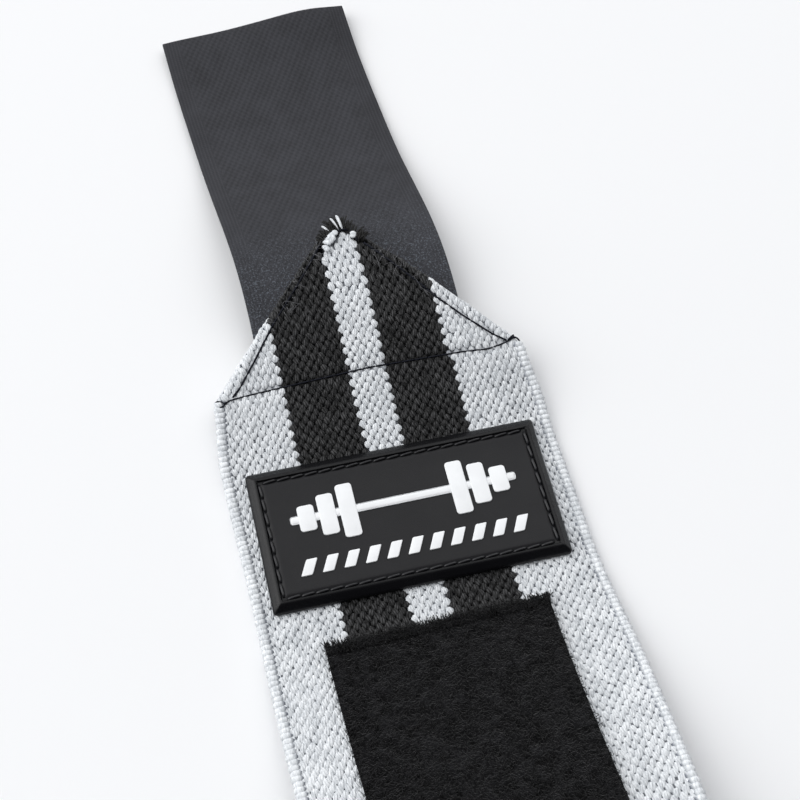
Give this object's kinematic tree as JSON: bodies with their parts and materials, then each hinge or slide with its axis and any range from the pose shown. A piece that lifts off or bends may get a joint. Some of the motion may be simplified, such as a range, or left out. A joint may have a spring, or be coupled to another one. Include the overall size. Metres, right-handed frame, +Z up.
{
  "type": "wrist wrap",
  "caption": "Wide elastic wrist wrap lying open: striped knitted band with a folded point, hook strap, loop panel, rubber patch and thumb loop.",
  "frame": {"origin": "middle of the footprint, on the surface that the wrap lies on", "axes": "+Y along the wrap from the thumb loop to the free end of the hook strap, +Z up, +X across"},
  "size_m": [0.0802, 0.4976, 0.0169],
  "materials": {
    "knit": "thick knitted elastic with raised lobes, light grey with black stripes",
    "hook_tape": "smooth black woven tape with a fine twill and ribbed edges, hooks on the underside",
    "loop_pile": "matt black fuzzy loop pile",
    "black_rubber": "moulded black rubber, satin, glossier on the bevels",
    "white_rubber": "raised white rubber, satin",
    "elastic_tape": "matt black woven elastic tape"
  },
  "bodies": {
    "root": {"elastic_band": "knit", "hook_strap": "hook_tape", "loop_panel": "loop_pile", "thumb_loop": "elastic_tape", "patch_base": "black_rubber", "emblem_barbell": "white_rubber", "emblem_slash_01": "white_rubber", "emblem_slash_02": "white_rubber", "emblem_slash_03": "white_rubber", "emblem_slash_04": "white_rubber", "emblem_slash_05": "white_rubber", "emblem_slash_06": "white_rubber", "emblem_slash_07": "white_rubber", "emblem_slash_08": "white_rubber", "emblem_slash_09": "white_rubber", "emblem_slash_10": "white_rubber", "emblem_slash_11": "white_rubber"}
  },
  "joints": []
}
